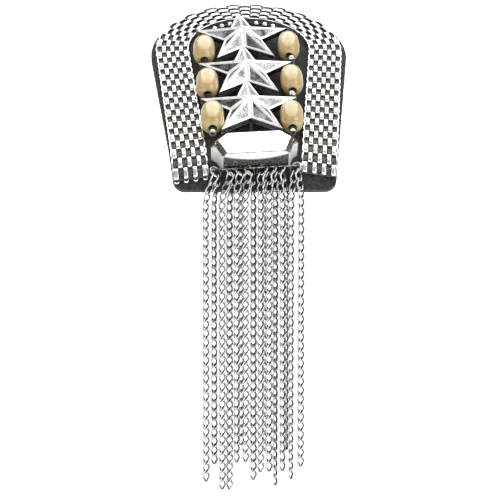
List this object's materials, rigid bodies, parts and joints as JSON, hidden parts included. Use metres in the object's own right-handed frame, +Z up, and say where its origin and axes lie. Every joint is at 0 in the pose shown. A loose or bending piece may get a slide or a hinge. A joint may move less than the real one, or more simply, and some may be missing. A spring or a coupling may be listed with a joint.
{
  "type": "chain fringe epaulette",
  "caption": "Shoulder epaulette of black felt with a silver mesh horseshoe, faceted stars, oval beads and a fringe of hanging curb chains.",
  "frame": {"origin": "on the underside of the felt, over the middle of the brooch pin that holds it to the shoulder", "axes": "+X across the shoulder, to the right as it is seen from the fringe; +Y from the fringe towards the collar; +Z up"},
  "size_m": [0.081, 0.1137, 0.1869],
  "materials": {
    "felt": "matt wool felt, slightly fibrous",
    "mesh": "bright silver plate, dark between the links",
    "star_metal": "antiqued silver, polished ridges round grey cast panels",
    "bead": "glossy cream and tan marbled resin",
    "spacer": "polished silver plate",
    "bar": "polished silver plate with fine scratches",
    "chain": "bright silver plate",
    "thread": "black waxed cord",
    "pin": "satin steel"
  },
  "bodies": {
    "root": {"felt_base": "felt", "mesh_band": "mesh", "star_1": "star_metal", "star_2": "star_metal", "star_3": "star_metal", "bead_left_1": "bead", "bead_left_2": "bead", "bead_left_3": "bead", "bead_right_1": "bead", "bead_right_2": "bead", "bead_right_3": "bead", "spacer_left_1": "spacer", "spacer_left_2": "spacer", "spacer_right_1": "spacer", "spacer_right_2": "spacer", "crimp_left": "spacer", "crimp_right": "spacer", "top_beads": "spacer", "thread_beads": "thread", "thread_stars": "thread", "bar": "bar", "hanging_wire": "chain", "ring_1": "chain", "ring_2": "chain", "ring_3": "chain", "ring_4": "chain", "ring_5": "chain", "ring_6": "chain", "ring_7": "chain", "ring_8": "chain", "chain_01": "chain", "chain_02": "chain", "chain_03": "chain", "chain_04": "chain", "chain_05": "chain", "chain_06": "chain", "chain_07": "chain", "chain_08": "chain", "chain_09": "chain", "chain_10": "chain", "chain_11": "chain", "chain_12": "chain", "chain_13": "chain", "chain_14": "chain", "chain_15": "chain", "chain_16": "chain", "brooch_pin": "pin"}
  },
  "joints": []
}
